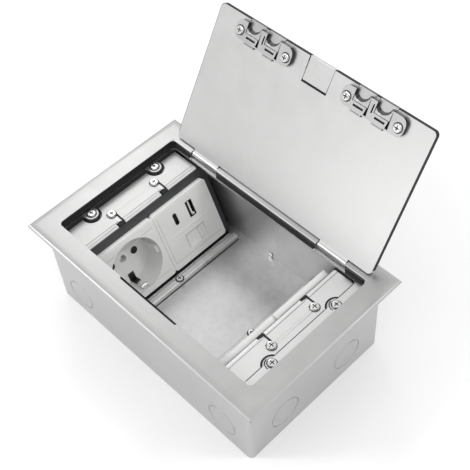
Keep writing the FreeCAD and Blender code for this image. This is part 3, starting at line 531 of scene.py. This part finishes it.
# ------------------------------------------------------------------ rows of modules
# each row is shaped as the left one; the sloping pieces are measured across the row,
# up the slope and out from it
FOLD_X, FOLD_DROP = -60.6, 2.2          # middle of the wing's fold, below the wing's top
FACE = 4.0                              # the modules' faces, out from the slope
MODULE_STARTS, MODULE_WIDTH = (-44.9, 0.1), 44.8    # across the row
WINDOW = (16.6, 32.4, -38.0, -27.7)     # of the network jack, across and up
WELL_U, WELL_V, WELL_RADIUS, WELL_DEPTH = -22.5, -23.5, 19.0, 17.5
PIN_SPREAD = 9.5
DISC = 0.0001                           # inner radius of a ring that welds to a disc


def wing_slots(row, turn):
    """Painted shade: black angled slots by the wing screws and a black gap under the fold, over
    the sheet's refilled slots; and painted shade along the crease.
    """
    dark, filler = Shape(), Shape()
    way = 1 if row == "left_" else -1
    leg, foot = (-67.6, -66.2, -2.3, 2.8), (-66.4, -60.4, 1.5, 2.8)
    for middle in (-SCREW_NEAR, SCREW_FAR):
        filler.block(-66.0, -61.4, middle - 0.42, middle + 0.42, WING_TOP - 0.6, WING_TOP)
        for x0, x1, start, end in (leg, foot):
            near, far = (middle + part for part in span(way, start, end))
            dark.block(x0, x1, near, far, WING_TOP - 0.3, WING_TOP + 0.06)
        near, far = (middle + part for part in span(way, -2.3, 2.6))
        dark.rod(FOLD_X, near, WING_TOP - FOLD_DROP, FOLD_DROP + 0.06, far - near, "y")
    piece(row + "wing_slots", dark, BLACK_RUBBER_AND_SHADE, place=turn)
    piece(row + "wing_slot_fillers", filler, WING_SHEET, place=turn)
    # painted shade along the wing's crease
    crease = Shape().block(-62.2, -61.9, -44.9, 44.9, WING_TOP - 0.25, WING_TOP - 0.06)
    piece(row + "wing_crease_shade", crease, ZINC_PAINTED_SHADE, place=turn)


def rail_lines(row, turn):
    """Bright lip of the foot rail, its dark channel, painted shade in its groove, and a painted
    shadow on the pan along its edge.
    """
    lip = Shape().block(RAIL_EDGE, RAIL_EDGE + 0.98, -47.4, 47.4,
                        RAIL_TOP - 1.39, RAIL_TOP - CLEAR)
    piece(row + "rail_lip", lip, RAIL_METAL, place=turn, edge=0.15)
    dark = Shape().block(RAIL_EDGE - 2.3, RAIL_EDGE - 0.05, -47.5, 47.5,
                         RAIL_TOP - 1.38, RAIL_TOP + 0.03)
    # painted shade in the groove
    dark.block(RAIL_EDGE + 1.5, RAIL_EDGE + 1.75, -49.0, 49.0, RAIL_TOP, RAIL_TOP + CLEAR)
    # painted shadow on the pan along the rail's edge
    dark.block(-28.9, -28.2, -49.6, 49.6, PAN_TOP, PAN_TOP + 0.12)
    piece(row + "rail_channel_and_shade", dark, BLACK_PLASTIC_AND_SHADE, place=turn)


def module_lines(row, slope):
    """Painted shade for the border lines and the window's left and top edges, and painted
    highlights on the modules' top edges, along a face line and on the window's lower and right
    lips.
    """
    line, light = Shape(), Shape()
    for start in MODULE_STARTS:
        end = start + MODULE_WIDTH
        line.block(start + 2.4, end - 2.4, -41.3, -41.1, FACE, FACE + CLEAR)
        line.block(start + 2.3, start + 2.5, -41.3, -4.6, FACE, FACE + CLEAR)
        light.block(start + 0.7, end - 0.7, -3.0, -1.6, FACE, FACE + 0.03)
    line.block(-42.4, -2.6, -7.1, -6.9, FACE, FACE + CLEAR)
    light.block(6.2, 39.4, -23.1, -22.85, FACE + 0.2, FACE + 0.28)
    left, right, low, high = WINDOW
    line.block(left - 0.2, left + 0.1, low, high, FACE, FACE + 0.03)
    line.block(left - 0.2, right, high - 0.1, high + 0.25, FACE, FACE + 0.03)
    light.block(left, right + 0.3, low - 0.45, low, FACE, FACE + 0.05)
    light.block(right, right + 0.35, low, high, FACE, FACE + 0.05)
    piece(row + "module_lines", line, PLASTIC_PAINTED_SHADE, place=slope)
    piece(row + "module_highlights", light, PLASTIC_BRIGHT_AND_HIGHLIGHT, place=slope)


def port_details(row, slope):
    """Painted shade for the grip line of the shutter, tongue of the wide port, dark insides of
    both power ports.
    """
    grip = Shape().block(27.8, 28.4, -37.4, -28.2, 2.48, 2.9)
    piece(row + "shutter_grip_shade", grip, PLASTIC_PAINTED_SHADE, row + "shutter", slope)
    back, front = 0.5, 3.4
    tongue = Shape().block(27.3, 28.2, -18.6, -8.2, back, front)
    tongue.block(27.3, 29.6, -18.6, -17.8, back, front)
    piece(row + "usb_a_tongue", tongue, PLASTIC_BRIGHT_AND_HIGHLIGHT, place=slope)
    hollow = Shape().block(25.6, 30.0, -18.9, -7.7, -8.9, 0.4)
    u, v, half, radius, back, front = 15.0, -13.2, 2.9, 1.15, -8.0, 3.0
    for end in (half, -half):
        hollow.rod(u, v + end, back, radius, front - back)
    hollow.block(u - radius, u + radius, v - half, v + half, back, front)
    piece(row + "port_insides", hollow, BLACK_PLASTIC_AND_SHADE, place=slope)


def socket_details(row, slope):
    """Painted shade in the clip pocket and pin holes, and painted highlights on the round well's
    rim and beside the clip pocket.
    """
    floor = FACE - WELL_DEPTH
    left, right = WELL_U - 2.1, WELL_U + 2.3
    dark = Shape().block(left, right, WELL_V - 17.3, WELL_V - 12.2, floor, floor + 0.15)
    dark.block(left, right, WELL_V - 17.35, WELL_V - 17.0, floor, floor + 6.0)
    for side in (-1, 1):
        dark.ring(WELL_U + side * PIN_SPREAD, WELL_V, floor - 0.4, DISC, 2.6, 0.3, steps=32)
    piece(row + "socket_shadows", dark, BLACK_PLASTIC_AND_SHADE, place=slope)
    light = Shape().ring(WELL_U, WELL_V, FACE - CLEAR, WELL_RADIUS, WELL_RADIUS + 0.5, 0.1,
                         steps=96)
    light.block(right, right + 0.6, WELL_V - 17.6, WELL_V - 11.5, floor, floor + 1.4)
    piece(row + "socket_highlights", light, PLASTIC_BRIGHT_AND_HIGHLIGHT, place=slope, edge=0.05)


# ------------------------------------------------------------------ lid
# measured along the hinge, up the lid and out from its inner face
LID_END = 93.3
TAB_HALF = 9.15
BRACKET_X, BRACKET_THICK = 41.85, 2.6
PAIR_SHIFT, FLAP_REACH = -0.95, 7.7     # flaps from the middle of their bracket
BRACKET_SCREW_X, BRACKET_SCREW_Y = 18.35, 84.8


def lid_lines():
    """Painted shade: black in the gaps round the lift tab."""
    gap = Shape().block(-TAB_HALF - 0.4, -TAB_HALF, 84.5, LID_END, -2.0, 0.03)
    gap.block(-TAB_HALF - 0.6, -TAB_HALF, 89.5, LID_END, -2.0, 0.03)
    gap.block(-TAB_HALF - 0.45, TAB_HALF + 0.15, 77.25, 77.6, -1.5, 0.03)
    gap.block(TAB_HALF, TAB_HALF + 0.3, 77.3, 81.5, -1.5, 0.03)
    piece("lift_tab_gap_shade", gap, BLACK_RUBBER_AND_SHADE, "lid", LID_FACE)


def bracket_shadows():
    """Painted shade: black in the cable brackets' slots, lines and screw crosses, and in the gaps
    under their screws.
    """
    dark, lines = Shape(), Shape()
    for centre in (-BRACKET_X, BRACKET_X):
        middle = centre + PAIR_SHIFT
        for flap in (middle - FLAP_REACH, middle + FLAP_REACH):
            dark.block(flap - 3.98, flap + 3.18, 81.92, 83.18, CLEAR, 1.6)
            dark.block(flap + 4.3, flap + 5.9, 80.5, 84.6, CLEAR, 0.9)
            lines.block(flap - 4.6, flap + 1.8, 78.4, 78.7, 1.5, 1.53)
            lines.block(flap - 6.35, flap - 6.15, 91.6, LID_END, 0.0, 0.03)
        dark.block(middle + 0.22, middle + 1.08, 83.9, 89.1, CLEAR, 1.6)
        for x in (centre - BRACKET_SCREW_X, centre + BRACKET_SCREW_X):
            dark.cross(x, BRACKET_SCREW_Y, BRACKET_THICK + 0.5, BRACKET_THICK + 1.15, 1.55, 0.6)
            dark.ring(x, BRACKET_SCREW_Y, BRACKET_THICK, 2.8, 3.25, 0.05)
    piece("bracket_slot_shade", dark, BLACK_PLASTIC_AND_SHADE, "lid", LID_FACE)
    piece("bracket_line_shade", lines, BLACK_PLASTIC_AND_SHADE, "lid", LID_FACE)


mouth_liner_and_shade()
wing_edge_shadows()
ledge_cover()
screw_shadows()
rim_shadow()
for row, (turn, slope) in ROWS.items():
    wing_slots(row, turn)
    rail_lines(row, turn)
    module_lines(row, slope)
    port_details(row, slope)
    socket_details(row, slope)
lid_lines()
bracket_shadows()


# ------------------------------------------------------------------ floor, light, camera
def plain_floor():
    """A pale floor that reaches 3 m each way, for the box to stand on."""
    mesh = bpy.data.meshes.new("studio_floor")
    shape = bmesh.new()
    bmesh.ops.create_grid(shape, x_segments=1, y_segments=1, size=3.0)
    shape.to_mesh(mesh)
    shape.free()
    floor = set_down("studio_floor", mesh)
    look = Finish("floor_paper")
    soft = look.grain(EVEN, 90.0, detail=2.0)
    look.colour(look.tint(look.spread(soft), shade(0.93), shade(0.95)))
    look.fixed("Roughness", 0.9)
    floor.data.materials.append(look.material)


def soft_light(name, place, aim, width, power):
    """A round lamp aimed at a place; sizes in metres, power in watts."""
    lamp = bpy.data.lights.new(name, "AREA")
    lamp.shape = "DISK"
    lamp.size = width
    lamp.energy = power
    holder = set_down(name, lamp)
    holder.location = place
    holder.rotation_euler = (Vector(aim) - Vector(place)).to_track_quat("-Z", "Y").to_euler()


def studio():
    """White air all round, a key light, a low light for the lid and two for the flange."""
    world = bpy.data.worlds.new("studio_air")
    bpy.context.scene.world = world
    world.use_nodes = True
    air = world.node_tree.nodes["Background"]
    air.inputs["Color"].default_value = (1.0, 1.0, 1.0, 1.0)
    air.inputs["Strength"].default_value = 1.0
    soft_light("key_light", (-0.86, 0.455, 1.02), (-0.06, 0.0, 0.06), 0.42, 1.0)
    soft_light("low_light", (-0.33, -1.14, 0.22), (0.0, 0.08, 0.11), 0.4, 0.6)
    soft_light("roll_light_front", (-0.75, -0.85, 1.0), (0.0, 0.0, 0.05), 0.3, 4.6)
    soft_light("roll_light_right", (0.8, 0.6, 1.15), (0.0, 0.0, 0.05), 0.3, 2.6)
    bpy.context.scene.view_settings.view_transform = "Standard"


def camera():
    """A long lens, high over the box's +X, -Y corner."""
    yaw, pitch, roll = (math.radians(part) for part in (139.45, -51.94, -5.26))
    view_line = Vector((math.cos(pitch) * math.cos(yaw), math.cos(pitch) * math.sin(yaw),
                        math.sin(pitch)))
    lens = bpy.data.cameras.new("camera")
    lens.lens = 76.12
    lens.sensor_width = 36.0
    holder = set_down("camera", lens)
    holder.location = (0.28035, -0.21779, 0.46605 + TOP)
    holder.rotation_mode = "QUATERNION"
    holder.rotation_quaternion = (view_line.to_track_quat("-Z", "Y")
                                  @ Quaternion((0.0, 0.0, 1.0), roll))
    bpy.context.scene.camera = holder


plain_floor()
studio()
camera()
